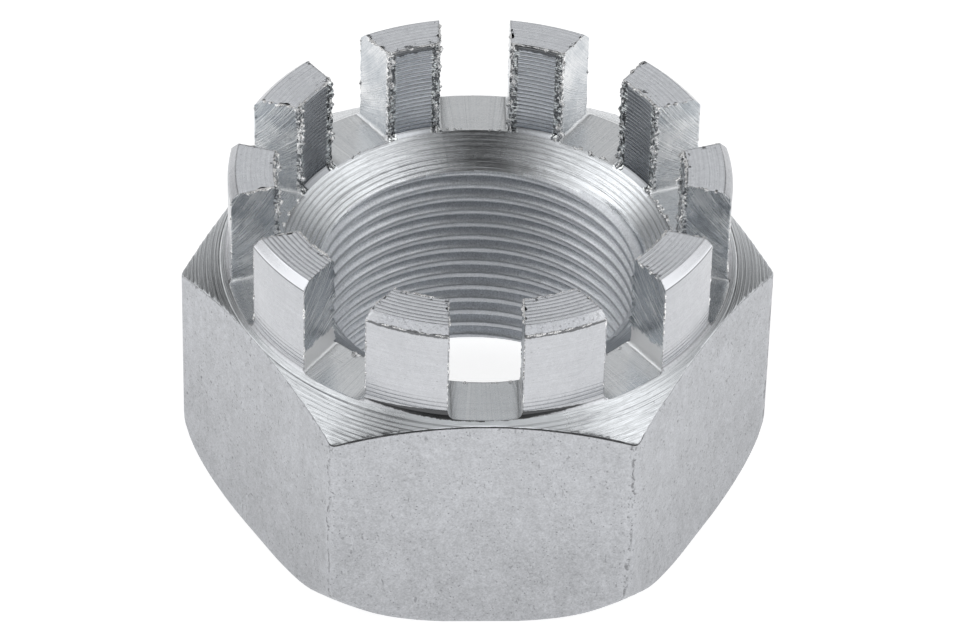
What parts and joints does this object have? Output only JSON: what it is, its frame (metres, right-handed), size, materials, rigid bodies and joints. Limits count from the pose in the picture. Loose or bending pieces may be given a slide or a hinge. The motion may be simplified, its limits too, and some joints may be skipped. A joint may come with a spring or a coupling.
{
  "type": "castle nut",
  "caption": "Hexagonal castle nut with a fine thread and a round slotted crown for a split pin, zinc-plated steel.",
  "frame": {"origin": "centre of the bearing face, on the thread's axis", "axes": "+Z along the thread from the bearing face towards the crown; +X through a corner of the hexagon; -Y through the middle of a flat and of the slot above it"},
  "size_m": [0.0528, 0.046, 0.033],
  "materials": {
    "zinc_plated_steel": "bright zinc plating over turned, milled and as-forged steel"
  },
  "bodies": {
    "root": {"castle_nut": "zinc_plated_steel"}
  },
  "joints": []
}
